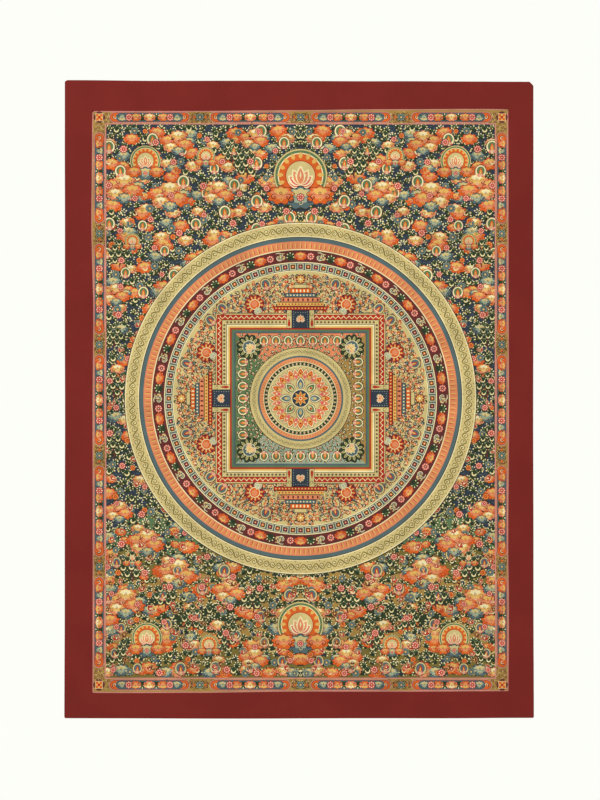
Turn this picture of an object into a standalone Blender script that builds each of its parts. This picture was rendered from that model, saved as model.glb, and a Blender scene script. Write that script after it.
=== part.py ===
"""A thangka, the painted scroll that hangs on a wall: a sized cotton canvas with a plain cloth border.

X runs to the right and Z up as the sheet hangs, and its painted face looks along -Y. The origin is
the middle of the top edge, halfway through the border's folded hem. Four strips of cloth lap over
the canvas's edges; each is folded to the back along its outer edge as a hem.
"""

import math
from collections import namedtuple

import bmesh
import bpy

MM = 0.001

# The sheet as it hangs
HALF_WIDTH = 287.0 * MM
CLOTH = 1.0 * MM  # one layer of the border cloth
CANVAS = 1.2 * MM  # the canvas with its ground and paint
HEM_GAP = 0.5 * MM  # between the two layers of a hem
HEM_WIDTH = 12.0 * MM
SEAM_GAP = 0.3 * MM  # between pieces that are sewn together
LAP = 6.0 * MM  # how far the border covers the canvas

# Depths through the sheet, back from its middle
BORDER_FRONT = -(2 * CLOTH + HEM_GAP) / 2
CANVAS_FRONT = BORDER_FRONT + CLOTH + SEAM_GAP

# How the sheet hangs: held flat at the top, a faint belly, and a foot that curls forward
FLAT_TOP = 100.0 * MM
HANG_LENGTH = 780.0 * MM
BELLY = 1.5 * MM
FOOT_CURL = 5.0 * MM
RIPPLE = 0.8 * MM  # of the border's free edge
RIPPLE_LENGTH = 240.0 * MM

STATION_STEP = 20.0 * MM  # between two sections of a piece
FOLD_STEPS = 6  # faces round the outside of a hem's fold
CORNER_STEPS = 3

# Edges in the plane of the sheet. A row says where on the edge it is, and where the edge lies there.
Row = namedtuple("Row", "along at")
TOP_EDGE = (
    Row(-287, 1.0),
    Row(-160, 0.2),
    Row(0, 0.0),
    Row(110, -0.3),
    Row(210, -0.8),
    Row(287, -1.0),
)
BOTTOM_EDGE = (
    Row(-287, -779.9),
    Row(-135, -780.4),
    Row(10, -780.2),
    Row(160, -779.9),
    Row(287, -779.5),
)
# The window that the border leaves. It was sewn by hand, so its sides wander by a millimetre.
WINDOW_TOP = (
    Row(-287, -36.9),
    Row(-125, -36.7),
    Row(-5, -35.7),
    Row(95, -34.6),
    Row(220, -34.2),
    Row(287, -35.0),
)
WINDOW_BOTTOM = (
    Row(-287, -748.6),
    Row(-215, -749.2),
    Row(-125, -748.9),
    Row(-5, -747.4),
    Row(120, -747.5),
    Row(287, -746.8),
)
WINDOW_LEFT = (
    Row(-780, -252.7),
    Row(-630, -252.8),
    Row(-410, -253.2),
    Row(-285, -252.4),
    Row(-175, -254.6),
    Row(-65, -253.7),
    Row(0, -252.5),
)
WINDOW_RIGHT = (
    Row(-780, 255.8),
    Row(-650, 256.8),
    Row(-570, 256.1),
    Row(-420, 257.2),
    Row(-160, 256.5),
    Row(0, 256.2),
)

# Each outer corner is blunted, some rounder than others: 1 is a round corner and 0 a straight cut
Corner = namedtuple("Corner", "across down roundness")
TOP_LEFT = Corner(3.3 * MM, 2.5 * MM, 0.6)
TOP_RIGHT = Corner(4.8 * MM, 5.3 * MM, 0.2)
BOTTOM_LEFT = Corner(2.2 * MM, 2.2 * MM, 1.0)
BOTTOM_RIGHT = Corner(1.6 * MM, 1.6 * MM, 1.0)

MAROON = (0.212, 0.026, 0.020, 1.0)
OCHRE = (0.400, 0.270, 0.130, 1.0)


def remove_old_objects():
    for old in list(bpy.data.objects):
        bpy.data.objects.remove(old)


def cloth_material(name, colour, roughness):
    material = bpy.data.materials.new(name)
    material.use_nodes = True
    shader = material.node_tree.nodes["Principled BSDF"]
    shader.inputs["Base Color"].default_value = colour
    shader.inputs["Roughness"].default_value = roughness
    shader.inputs["Metallic"].default_value = 0.0
    return material


def eased(rows, along):
    """Where an edge lies at a place along it, with a soft bend at every row of its table."""
    for low, high in zip(rows, rows[1:]):
        start, end = low.along * MM, high.along * MM
        if along <= end or high is rows[-1]:
            share = min(max((along - start) / (end - start), 0.0), 1.0)
            soft = share * share * (3 - 2 * share)
            return (low.at + (high.at - low.at) * soft) * MM


def hang_depth(z):
    """How far back the hanging sheet lies at this height."""
    share = min(max((-z - FLAT_TOP) / (HANG_LENGTH - FLAT_TOP), 0.0), 1.0)
    return BELLY * math.sin(math.pi * share) ** 2 - FOOT_CURL * share**3


def stations(start, end, extra=()):
    """Places from start to end, at most STATION_STEP apart, with the extra ones among them."""
    count = math.ceil((end - start) / STATION_STEP)
    even = [start + (end - start) * i / count for i in range(count + 1)]
    kept = [s for s in even if all(abs(s - e) > STATION_STEP / 4 for e in extra)]
    return sorted({*kept, *extra, start, end})


def corner_cut(corner, from_end):
    """How much a blunt corner takes off the edge, this far from the strip's end."""
    share = max(1 - from_end / corner.across, 0.0)
    rounded = 1 - math.sqrt(max(1 - share * share, 0.0))
    return corner.down * (share + (rounded - share) * corner.roundness)


def corner_stations(corner, end, inwards):
    return [end + inwards * corner.across * i / CORNER_STEPS for i in range(CORNER_STEPS + 1)]


def hem_section(width):
    """A strip's section as (across, depth) points: the front layer, the fold and the hem behind it."""
    middle = CLOTH + HEM_GAP / 2
    turn = width - middle
    outer, inner = [], []
    for i in range(FOLD_STEPS + 1):
        angle = math.pi * (i / FOLD_STEPS - 0.5)
        across, depth = math.cos(angle), math.sin(angle)
        outer.append((turn + middle * across, middle + middle * depth))
        inner.append((turn + HEM_GAP / 2 * across, middle + HEM_GAP / 2 * depth))
    hem_end = width - HEM_WIDTH
    return [
        (0.0, 0.0),
        *outer,
        (hem_end, 2 * middle),
        (hem_end, middle + HEM_GAP / 2),
        *reversed(inner),
        (0.0, CLOTH),
    ]


def solid_between(name, sections, material):
    """One closed solid through a row of sections, each a ring of the same number of points."""
    shape = bmesh.new()
    rings = [[shape.verts.new(point) for point in section] for section in sections]
    for ring, following in zip(rings, rings[1:]):
        for i in range(len(ring)):
            j = (i + 1) % len(ring)
            shape.faces.new((ring[i], ring[j], following[j], following[i]))
    shape.faces.new(rings[0])
    shape.faces.new(reversed(rings[-1]))
    bmesh.ops.recalc_face_normals(shape, faces=shape.faces)
    mesh = bpy.data.meshes.new(name)
    shape.to_mesh(mesh)
    shape.free()
    mesh.materials.append(material)
    solid = bpy.data.objects.new(name, mesh)
    bpy.context.scene.collection.objects.link(solid)
    return solid


def strip_point(inner, outer, share, depth, along):
    """A point of a border strip, which ripples more the nearer it is to its outer edge."""
    x = inner[0] + (outer[0] - inner[0]) * share
    z = inner[1] + (outer[1] - inner[1]) * share
    ripple = RIPPLE * share * share * math.sin(2 * math.pi * along / RIPPLE_LENGTH)
    return (x, BORDER_FRONT + depth + hang_depth(z) + ripple, z)


def strip(name, places, edges, material):
    """A border strip. edges(place) gives its inner and outer point in the plane of the sheet."""
    sections = []
    for place in places:
        inner, outer = edges(place)
        width = math.dist(inner, outer)
        sections.append(
            [strip_point(inner, outer, a / width, d, place) for a, d in hem_section(width)]
        )
    return solid_between(name, sections, material)


def side_strip(name, window, outer_x, material):
    """The strip down one side, between the seams of the top and bottom strips."""
    seam_top = eased(WINDOW_TOP, outer_x) - SEAM_GAP
    seam_bottom = eased(WINDOW_BOTTOM, outer_x) + SEAM_GAP

    def edges(z):
        inner_x = eased(window, z)
        share_x = eased(WINDOW_TOP, inner_x) - eased(WINDOW_TOP, outer_x)
        near_top = max(1 - (seam_top - z) / STATION_STEP, 0.0)
        share_low = eased(WINDOW_BOTTOM, inner_x) - eased(WINDOW_BOTTOM, outer_x)
        near_bottom = max(1 - (z - seam_bottom) / STATION_STEP, 0.0)
        inner_z = z + share_x * near_top + share_low * near_bottom
        return (inner_x, inner_z), (outer_x, z)

    return strip(name, stations(seam_bottom, seam_top), edges, material)


def end_strip(name, window, outer_edge, left, right, inwards, material):
    """The strip along the top or the bottom, which runs the sheet's full width."""
    corners = corner_stations(left, -HALF_WIDTH, 1) + corner_stations(right, HALF_WIDTH, -1)

    def edges(x):
        cut = corner_cut(left, x + HALF_WIDTH) + corner_cut(right, HALF_WIDTH - x)
        return (x, eased(window, x)), (x, eased(outer_edge, x) + inwards * cut)

    return strip(name, stations(-HALF_WIDTH, HALF_WIDTH, corners), edges, material)


def canvas_panel(material):
    """The canvas, a plain rectangle whose edges lie under the border."""
    left = min(row.at for row in WINDOW_LEFT) * MM - LAP
    right = max(row.at for row in WINDOW_RIGHT) * MM + LAP
    top = max(row.at for row in WINDOW_TOP) * MM + LAP
    bottom = min(row.at for row in WINDOW_BOTTOM) * MM - LAP
    sections = []
    for z in stations(bottom, top):
        front = CANVAS_FRONT + hang_depth(z)
        back = front + CANVAS
        sections.append([(left, front, z), (right, front, z), (right, back, z), (left, back, z)])
    return solid_between("canvas", sections, material)


def main():
    remove_old_objects()
    border = cloth_material("border cloth", MAROON, 0.9)
    painted = cloth_material("painted canvas", OCHRE, 0.85)
    canvas_panel(painted)
    side_strip("border_left", WINDOW_LEFT, -HALF_WIDTH, border)
    side_strip("border_right", WINDOW_RIGHT, HALF_WIDTH, border)
    end_strip("border_top", WINDOW_TOP, TOP_EDGE, TOP_LEFT, TOP_RIGHT, -1, border)
    end_strip("border_bottom", WINDOW_BOTTOM, BOTTOM_EDGE, BOTTOM_LEFT, BOTTOM_RIGHT, 1, border)


main()
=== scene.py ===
"""The looks of a thangka: a cotton canvas painted with gouache, in a plain border of maroon cloth.

Lengths are in metres, and those of the painting in millimetres. X runs to the right and Z up, and
the painted face looks along -Y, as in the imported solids.
"""

import math

import bmesh
import bpy
import numpy as np
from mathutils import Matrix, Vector


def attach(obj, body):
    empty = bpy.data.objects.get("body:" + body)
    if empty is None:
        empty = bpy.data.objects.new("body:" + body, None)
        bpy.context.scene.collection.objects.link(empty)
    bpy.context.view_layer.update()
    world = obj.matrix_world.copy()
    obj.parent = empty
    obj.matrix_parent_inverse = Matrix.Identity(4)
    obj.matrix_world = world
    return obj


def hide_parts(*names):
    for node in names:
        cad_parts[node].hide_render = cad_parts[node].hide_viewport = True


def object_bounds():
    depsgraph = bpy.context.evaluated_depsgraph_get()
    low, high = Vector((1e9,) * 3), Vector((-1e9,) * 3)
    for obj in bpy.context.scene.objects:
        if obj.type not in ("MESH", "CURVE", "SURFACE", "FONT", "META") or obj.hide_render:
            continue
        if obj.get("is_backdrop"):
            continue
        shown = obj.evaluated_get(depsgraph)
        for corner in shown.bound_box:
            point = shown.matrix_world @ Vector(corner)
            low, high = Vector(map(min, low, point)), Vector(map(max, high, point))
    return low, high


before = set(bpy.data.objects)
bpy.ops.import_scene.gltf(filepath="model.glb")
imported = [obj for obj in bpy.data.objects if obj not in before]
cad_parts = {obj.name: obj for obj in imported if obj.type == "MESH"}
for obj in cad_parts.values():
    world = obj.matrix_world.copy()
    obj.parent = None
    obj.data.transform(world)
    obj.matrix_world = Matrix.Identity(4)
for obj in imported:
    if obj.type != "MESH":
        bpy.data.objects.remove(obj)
cad_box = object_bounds()
MM = 0.001

# The view and the light. The camera stands square on to the middle of the sheet. A wide soft lamp
# hangs above and to the left, in a white room whose floor lies below the sheet.
VIEW_HEIGHT = 980.0 * MM
VIEW_MIDDLE = (1.1 * MM, -390.9 * MM)
LENS = 85.0
SENSOR = 36.0
ROOM_LIGHT = 0.74
FLOOR_DROP = 1.25
FLOOR_SIZE = 1.7

view = bpy.data.cameras.new("view")
view.lens = LENS
view.sensor_fit = "VERTICAL"
view.sensor_height = SENSOR
camera = bpy.data.objects.new("view", view)
camera.location = (VIEW_MIDDLE[0], -VIEW_HEIGHT * LENS / SENSOR, VIEW_MIDDLE[1])
camera.rotation_euler = (math.pi / 2, 0, 0)
bpy.context.scene.collection.objects.link(camera)
bpy.context.scene.camera = camera
bpy.context.scene.view_settings.view_transform = "Standard"

SHEET_MIDDLE = (0, 0, -0.39)


def lamp(name, place, size, power):
    light = bpy.data.lights.new(name, "AREA")
    light.shape = "DISK"
    light.size = size
    light.energy = power
    holder = bpy.data.objects.new(name, light)
    holder.location = place
    aim = Vector(SHEET_MIDDLE) - Vector(place)
    holder.rotation_euler = aim.to_track_quat("-Z", "Y").to_euler()
    bpy.context.scene.collection.objects.link(holder)


def added(tree, kind, inputs, **settings):
    """A new node of the tree. Each input is given another node's output or a plain value."""
    node = tree.nodes.new(kind)
    for setting, value in settings.items():
        setattr(node, setting, value)
    for label, value in inputs.items():
        if isinstance(value, bpy.types.NodeSocket):
            tree.links.new(value, node.inputs[label])
        else:
            node.inputs[label].default_value = value
    return node


lamp("lamp", (-0.7, -2.0, 0.75), 1.6, 22.0)

room = bpy.data.worlds.new("room")
room.use_nodes = True
bpy.context.scene.world = room
glow = room.node_tree.nodes["Background"]
glow.inputs["Color"].default_value = (1.0, 0.99, 0.97, 1.0)
glow.inputs["Strength"].default_value = ROOM_LIGHT
wall = added(room.node_tree, "ShaderNodeBackground", {"Color": (0.982, 0.991, 0.94, 1.0)})
to_camera = added(room.node_tree, "ShaderNodeLightPath", {}).outputs["Is Camera Ray"]
shades = {0: to_camera, 1: glow.outputs[0], 2: wall.outputs[0]}
seen = added(room.node_tree, "ShaderNodeMixShader", shades)
room.node_tree.links.new(seen.outputs[0], room.node_tree.nodes["World Output"].inputs["Surface"])

half = FLOOR_SIZE / 2
floor_mesh = bpy.data.meshes.new("floor")
corners = [(-half, -half, -FLOOR_DROP), (half, -half, -FLOOR_DROP), (half, half, -FLOOR_DROP)]
floor_mesh.from_pydata([*corners, (-half, half, -FLOOR_DROP)], [], [(0, 1, 2, 3)])
floor = bpy.data.objects.new("floor", floor_mesh)
bpy.context.scene.collection.objects.link(floor)
floor_paint = bpy.data.materials.new("floor")
floor_paint.use_nodes = True
floor_shader = floor_paint.node_tree.nodes["Principled BSDF"]
floor_shader.inputs["Base Color"].default_value = (0.8, 0.79, 0.77, 1)
floor_mesh.materials.append(floor_paint)
floor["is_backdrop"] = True


# The canvas: plain cotton, sized with glue and primed with chalk. It lies behind the border, with
# its edges tucked 6 mm under it, and is painted in front and left raw behind.
CANVAS_LEFT, CANVAS_RIGHT = -260.6 * MM, 263.2 * MM
CANVAS_BOTTOM, CANVAS_TOP = -755.2 * MM, -28.2 * MM
CANVAS_FRONT = 0.05 * MM
CANVAS_THICK = 1.2 * MM
FLAT_TOP = 100.0 * MM
HANG_LENGTH = 780.0 * MM
BELLY = 1.5 * MM
FOOT_CURL = 5.0 * MM
FIBRES = 900.0  # the fine mottle's scale
MOTTLED = (0.52, 0.94)  # where the mottle is fully dark, and fully light
SHINE = 0.2


def linear(red, green, blue):
    """A colour as seen on a screen, from 0 to 255, as the light that it gives back."""
    shares = [value / 255 for value in (red, green, blue)]
    return tuple(s / 12.92 if s <= 0.04045 else ((s + 0.055) / 1.055) ** 2.4 for s in shares)


def hang_depth(z):
    """How far back the hanging sheet lies at this height."""
    share = np.clip((-z - FLAT_TOP) / (HANG_LENGTH - FLAT_TOP), 0, 1)
    return BELLY * np.sin(math.pi * share) ** 2 - FOOT_CURL * share**3


def new_mesh(name, points, corners, first):
    """A mesh of faces, from all their corners in a row and the place of each face's first."""
    mesh = bpy.data.meshes.new(name)
    mesh.vertices.add(len(points))
    mesh.vertices.foreach_set("co", points.ravel())
    mesh.loops.add(len(corners))
    mesh.loops.foreach_set("vertex_index", corners)
    mesh.polygons.add(len(first))
    mesh.polygons.foreach_set("loop_start", first)
    mesh.update(calc_edges=True)
    return mesh


def piece_of(mesh):
    piece = bpy.data.objects.new(mesh.name, mesh)
    bpy.context.scene.collection.objects.link(piece)
    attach(piece, "root")
    return piece


def sum_of(tree, operation, *terms):
    """A math node's result on these terms, each a socket or a number."""
    return added(tree, "ShaderNodeMath", dict(enumerate(terms)), operation=operation).outputs[0]


def cloth_finish(name, dark, light, pitch, depth, roughness, sheen=0.0, blotch=0.05):
    """Plain-woven cloth or a paint film on it, mottled from dark to light.

    Its yarns lie a pitch apart and stand out by depth, and its broad patches are a blotch wide.
    Besides this random mottle, the colour is darker where the weave dips, the more so the deeper
    its
    relief: painted shade of the weave.
    """
    material = bpy.data.materials.new(name)
    material.use_nodes = True
    tree = material.node_tree
    shader = tree.nodes["Principled BSDF"].inputs
    shader["Roughness"].default_value = roughness
    shader["Specular IOR Level"].default_value = SHINE
    shader["Sheen Weight"].default_value = sheen
    place = added(tree, "ShaderNodeTexCoord", {}).outputs["Object"]
    broad, fine = (
        added(tree, "ShaderNodeTexNoise", {"Vector": place, "Scale": scale, "Detail": detail})
        for scale, detail in ((1 / blotch, 3.0), (FIBRES, 2.0))
    )
    axes = added(tree, "ShaderNodeSeparateXYZ", {0: place}).outputs
    turns = [sum_of(tree, "MULTIPLY", axes[axis], math.pi / pitch) for axis in "XZ"]
    weave = sum_of(tree, "MULTIPLY", *(sum_of(tree, "SINE", turn) for turn in turns))
    mottle = sum_of(tree, "MULTIPLY_ADD", fine.outputs["Fac"], 0.45, broad.outputs["Fac"])
    # Random mottle plus painted shade: the weave's low spots are coloured darker, in step with its
    # relief depth.
    mottle_and_weave_shade = sum_of(tree, "MULTIPLY_ADD", weave, min(depth / (2 * MM), 0.08), mottle)
    ramp = added(tree, "ShaderNodeValToRGB", {0: mottle_and_weave_shade})
    for stop, position, shade in zip(ramp.color_ramp.elements, MOTTLED, (dark, light)):
        stop.position = position
        stop.color = (*shade, 1)
    tree.links.new(ramp.outputs["Color"], shader["Base Color"])
    height = sum_of(tree, "MULTIPLY_ADD", weave, 0.5, fine.outputs["Fac"])
    relief = {"Strength": 0.5, "Distance": depth, "Height": height}
    tree.links.new(added(tree, "ShaderNodeBump", relief).outputs[0], shader["Normal"])
    return material


def shaded(colour, low, high):
    """Two shades of a colour, darker and lighter by these factors."""
    base = linear(*colour)
    return tuple(c * low for c in base), tuple(min(c * high, 1) for c in base)


def closed_sheet(name, cell=8.0 * MM):
    """The canvas as a closed sheet: a grid in front, another behind and the rim between them."""
    columns = np.linspace(CANVAS_LEFT, CANVAS_RIGHT, round((CANVAS_RIGHT - CANVAS_LEFT) / cell))
    rows = np.linspace(CANVAS_BOTTOM, CANVAS_TOP, round((CANVAS_TOP - CANVAS_BOTTOM) / cell))
    x, z = (spots.ravel() for spots in np.meshgrid(columns, rows))
    front = CANVAS_FRONT + hang_depth(z)
    points = np.concatenate([np.column_stack((x, front + d, z)) for d in (0, CANVAS_THICK)])
    index = np.arange(len(x)).reshape(len(rows), len(columns))
    quads = np.stack((index[:-1, :-1], index[:-1, 1:], index[1:, 1:], index[1:, :-1]), -1)
    quads = quads.reshape(-1, 4)
    rim = np.concatenate((index[0], index[1:, -1], index[-1, -2::-1], index[-2:0:-1, 0]))
    after, back = np.roll(rim, -1), len(x)
    edge = np.column_stack((rim, rim + back, after + back, after))
    faces = np.concatenate((quads, quads[:, ::-1] + back, edge))
    mesh = new_mesh(name, points, faces.ravel(), np.arange(len(faces)) * 4)
    unpainted = np.repeat((0, 1, 1), (len(quads), len(quads), len(edge)))
    mesh.polygons.foreach_set("material_index", unpainted)
    return mesh


primed = cloth_finish("primed canvas", *shaded((176, 150, 96), 0.8, 1.1), 0.9 * MM, 0.05 * MM, 0.85)
raw = shaded((214, 200, 172), 0.92, 1.06)
raw = cloth_finish("raw canvas", *raw, 0.9 * MM, 0.16 * MM, 0.92, 0.1)
canvas_mesh = closed_sheet("canvas_cloth")
canvas_mesh.materials.append(primed)
canvas_mesh.materials.append(raw)
canvas = piece_of(canvas_mesh)
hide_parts("canvas")


# The paints: ground minerals and earths in hide glue, dull and opaque, laid thinly one coat over
# another. Each is one film of many strokes and lies wherever the design calls for it.
COAT = 0.015 * MM  # from one coat to the next
FIRST_COAT = 0.03 * MM
# How many coats strewn copies differ by at most, and mirrored ones stand out by, so that no two
# films of different paints lie in one plane
STREWN_LIFT, MIRROR_LIFT = 0.7, 0.4
CROWD = 6.0  # how many points are tried on each square of the spacing's width
PAINTS = {
    "lamp_black": (44, 35, 29),
    "indigo": (48, 57, 68),
    "azurite": (84, 104, 104),
    "pale_azurite": (152, 165, 140),
    "forest": (44, 58, 34),
    "malachite": (92, 118, 76),
    "olive": (118, 104, 48),
    "ochre": (164, 130, 66),
    "cinnabar": (172, 44, 29),
    "maroon_lake": (98, 44, 40),
    "red_lead": (213, 97, 33),
    "sandalwood": (220, 134, 90),
    "old_rose": (207, 138, 122),
    "lac_rose": (210, 96, 94),
    "orpiment": (222, 175, 91),
    "straw": (206, 187, 124),
    "chalk": (238, 223, 169),
}
films = {name: [] for name in PAINTS}
paint_finish = {
    name: cloth_finish(name, *shaded(rgb, 0.84, 1.14), 0.9 * MM, 0.03 * MM, 0.8, 0.0, 0.03)
    for name, rgb in PAINTS.items()
}


def turned(points, degrees):
    """Points turned clockwise as the sheet is looked at, so that up goes towards the right."""
    c, s = math.cos(math.radians(degrees)), math.sin(math.radians(degrees))
    x, z = np.asarray(points, float).T
    return np.column_stack((x * c + z * s, z * c - x * s))


def blob(radius, lobes=0, depth=0.0, steps=14, wide=1.0, high=1.0, at=(0, 0), turn=0):
    """A round shape, scalloped like a flower or a cloud where it has lobes."""
    angle = np.arange(steps) * (2 * math.pi / steps)
    reach = radius * (1 - depth * (1 - np.abs(np.cos(lobes * angle / 2))))
    points = np.column_stack((reach * np.sin(angle) * wide, reach * np.cos(angle) * high))
    return turned(points, turn) + at


def petal(length, width, at=(0, 0), turn=0, start=0.0, tip=0.8, steps=5):
    """A leaf or petal that grows from its root, at a distance start from the point at."""
    t = np.linspace(0, 1, steps + 1)
    half_width = width / 2 * np.sin(math.pi * t**tip) ** 0.85
    right = np.column_stack((half_width, start + length * t))
    left = right[-2:0:-1] * (-1, 1)
    return turned(np.concatenate((right, left)), turn) + at


def petals(turns, length, width, **where):
    return [petal(length, width, turn=turn, **where) for turn in turns]


def stroke(path, width, taper=True):
    """A brush stroke along a path, as a row of four-cornered faces."""
    path = np.asarray(path, float)
    along = np.gradient(path, axis=0)
    along /= np.linalg.norm(along, axis=1)[:, None] + 1e-9
    side = np.column_stack((-along[:, 1], along[:, 0]))
    share = np.linspace(0.04, 0.96, len(path))
    half_width = width / 2 * (np.sin(math.pi * share) ** 0.5 if taper else np.ones(len(path)))
    a, b = path + side * half_width[:, None], path - side * half_width[:, None]
    return [np.array((a[i], b[i], b[i + 1], a[i + 1])) for i in range(len(path) - 1)]


def curl(size, width, hand=1, turns=1.3, at=(0, 0), turn=0, steps=11):
    """A stroke that winds into itself, from its outer end at the top."""
    share = np.linspace(0, 1, steps)
    reach = size * (1 - 0.85 * share)
    angle = hand * 2 * math.pi * turns * share
    path = np.column_stack((reach * np.sin(angle), reach * np.cos(angle)))
    return stroke(turned(path, turn) + at, width)


def curls(size, width, turns, at, turn=0, steps=11):
    """A curl and its mirror image on the other side of the motif."""
    x, z = at
    both = [curl(size, width, side, turns, (side * x, z), side * turn, steps) for side in (1, -1)]
    return both[0] + both[1]


def band(inner, outer, steps, at=(0, 0)):
    """A flat ring of four-cornered faces."""
    angle = np.arange(steps + 1) * (2 * math.pi / steps)
    way = np.column_stack((np.sin(angle), np.cos(angle)))
    a, b = way * inner + at, way * outer + at
    return [np.array((a[i], b[i], b[i + 1], a[i + 1])) for i in range(steps)]


def clipped(polygon, level, keep):
    """The part of a convex outline above a level where keep is 1, or below it where keep is -1."""
    kept = []
    for here, there in zip(polygon, np.roll(polygon, -1, axis=0)):
        inside, next_inside = (keep * (p[1] - level) >= 0 for p in (here, there))
        if inside:
            kept.append(here)
        if inside != next_inside:
            kept.append(here + (there - here) * (level - here[1]) / (there[1] - here[1]))
    return np.array(kept)


def sliced(polygon, step=15.0):
    """A convex outline cut into low slices, so that a large shape still follows the canvas."""
    polygon = np.asarray(polygon, float)
    low, high = polygon[:, 1].min(), polygon[:, 1].max()
    count = max(math.ceil((high - low) / step), 1)
    levels = np.linspace(low, high, count + 1)
    slices = [clipped(clipped(polygon, a, 1), b, -1) for a, b in zip(levels, levels[1:])]
    return [s for s in slices if len(s) > 2]


def pieces_of(polygon):
    """A convex outline cut both ways, so that it follows the canvas wherever it is turned."""
    return [turned(p, -90) for strip in sliced(polygon) for p in sliced(turned(strip, 90))]


def bar(x0, z0, x1, z1):
    return sliced(((x0, z0), (x1, z0), (x1, z1), (x0, z1)))


def moved(motif, x=0.0, z=0.0, turn=0.0, size=1.0, flip=1, lift=0):
    """A motif at another place. flip of -1 mirrors it, and lift raises it by so many coats."""
    return [
        (name, coat + lift, [turned(p * (size * flip, size), turn) + (x, z) for p in outlines])
        for name, coat, outlines in motif
    ]


def films_of(motif):
    """The motif's flat meshes, one for each of its paints."""
    for name in dict.fromkeys(shape[0] for shape in motif):
        points, faces = [], []
        for paint, coat, outlines in motif:
            for outline in outlines if paint == name else ():
                faces.append(range(len(points), len(points) + len(outline)))
                points += [(x * MM, -coat * COAT, z * MM) for x, z in outline]
        mesh = bpy.data.meshes.new(name)
        mesh.from_pydata(points, [], faces)
        yield name, mesh


def add_film(name, mesh):
    points = np.empty(len(mesh.vertices) * 3)
    mesh.vertices.foreach_get("co", points)
    corners = np.empty(len(mesh.loops), int)
    mesh.loops.foreach_get("vertex_index", corners)
    sizes = np.empty(len(mesh.polygons), int)
    mesh.polygons.foreach_get("loop_total", sizes)
    films[name].append((points.reshape(-1, 3), corners, sizes))


def lay(motif):
    """Paints a motif once, where it is."""
    for name, mesh in films_of(motif):
        add_film(name, mesh)
        bpy.data.meshes.remove(mesh)


# How a motif is repeated: in a ring, along a row, or strewn over a ground. Each is a tree of
# geometry nodes that sets copies of the motif, makes them real and gives them their paint.
def repeat_tree(name, places_of, **inputs):
    """A tree with these inputs of each kind. places_of gives the points, their turn and size."""
    tree = bpy.data.node_groups.new(name, "GeometryNodeTree")
    inputs = {"Geometry": ("Motif",), **inputs, "Material": ("Paint",)}
    for kind, labels in inputs.items():
        for label in labels:
            tree.interface.new_socket(label, in_out="INPUT", socket_type=f"NodeSocket{kind}")
    tree.interface.new_socket("Repeats", in_out="OUTPUT", socket_type="NodeSocketGeometry")
    given = added(tree, "NodeGroupInput", {}).outputs
    points, turn, size = places_of(tree, given)
    upright = added(tree, "ShaderNodeCombineXYZ", {"Y": turn}).outputs[0]
    spots = {"Points": points, "Instance": given["Motif"], "Rotation": upright}
    if size:
        flat = added(tree, "ShaderNodeCombineXYZ", {"X": size, "Y": 1.0, "Z": size})
        spots["Scale"] = flat.outputs[0]
    copies = added(tree, "GeometryNodeInstanceOnPoints", spots).outputs[0]
    real = added(tree, "GeometryNodeRealizeInstances", {0: copies}).outputs[0]
    painted = {"Geometry": real, "Material": given["Paint"]}
    painted = added(tree, "GeometryNodeSetMaterial", painted).outputs[0]
    added(tree, "NodeGroupOutput", {0: painted})
    return tree


def points_at(tree, count, x, z):
    where = added(tree, "ShaderNodeCombineXYZ", {"X": x, "Z": z}).outputs[0]
    return added(tree, "GeometryNodePoints", {"Count": count, "Position": where}).outputs[0]


def ring_places(tree, given):
    index = added(tree, "GeometryNodeInputIndex", {}).outputs[0]
    share = sum_of(tree, "DIVIDE", index, given["Count"])
    angle = sum_of(tree, "MULTIPLY_ADD", share, 2 * math.pi, given["First turn"])
    spots = (
        sum_of(tree, "MULTIPLY_ADD", sum_of(tree, way, angle), given["Radius"], given[middle])
        for way, middle in (("SINE", "Middle X"), ("COSINE", "Middle Z"))
    )
    return points_at(tree, given["Count"], *spots), angle, None


def row_places(tree, given):
    index = added(tree, "GeometryNodeInputIndex", {}).outputs[0]
    spots = (
        sum_of(tree, "MULTIPLY_ADD", index, given[f"Step {axis}"], given[f"First {axis}"])
        for axis in "XZ"
    )
    return points_at(tree, given["Count"], *spots), given["Turn"], None


def strewn_places(tree, given):
    def chance(low, high, offset):
        between = {2: low, 3: high, "Seed": sum_of(tree, "ADD", given["Seed"], offset)}
        return added(tree, "FunctionNodeRandomValue", between, data_type="FLOAT").outputs[1]

    ground = added(tree, "GeometryNodeObjectInfo", {"Object": given["Ground"]})
    apart = sum_of(tree, "MULTIPLY", given["Spacing"], given["Spacing"])
    spread = added(
        tree,
        "GeometryNodeDistributePointsOnFaces",
        {
            "Mesh": ground.outputs["Geometry"],
            "Distance Min": given["Spacing"],
            "Density Max": sum_of(tree, "DIVIDE", CROWD, apart),
            "Seed": given["Seed"],
        },
        distribute_method="POISSON",
    )
    turn = chance(given["Least turn"], given["Most turn"], 1)
    size = chance(given["Least size"], given["Most size"], 2)
    forward = added(tree, "ShaderNodeCombineXYZ", {"Y": chance(-STREWN_LIFT * COAT, 0.0, 3)})
    lifted = {"Geometry": spread.outputs["Points"], "Offset": forward.outputs[0]}
    return added(tree, "GeometryNodeSetPosition", lifted).outputs[0], turn, size


RING = repeat_tree(
    "ring of motifs",
    ring_places,
    Int=("Count",),
    Float=("Radius", "First turn", "Middle X", "Middle Z"),
)
ROW = repeat_tree(
    "row of motifs",
    row_places,
    Int=("Count",),
    Float=("First X", "First Z", "Step X", "Step Z", "Turn"),
)
STREWN = repeat_tree(
    "strewn motifs",
    strewn_places,
    Object=("Ground",),
    Int=("Seed",),
    Float=("Spacing", "Least turn", "Most turn", "Least size", "Most size"),
)


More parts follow.
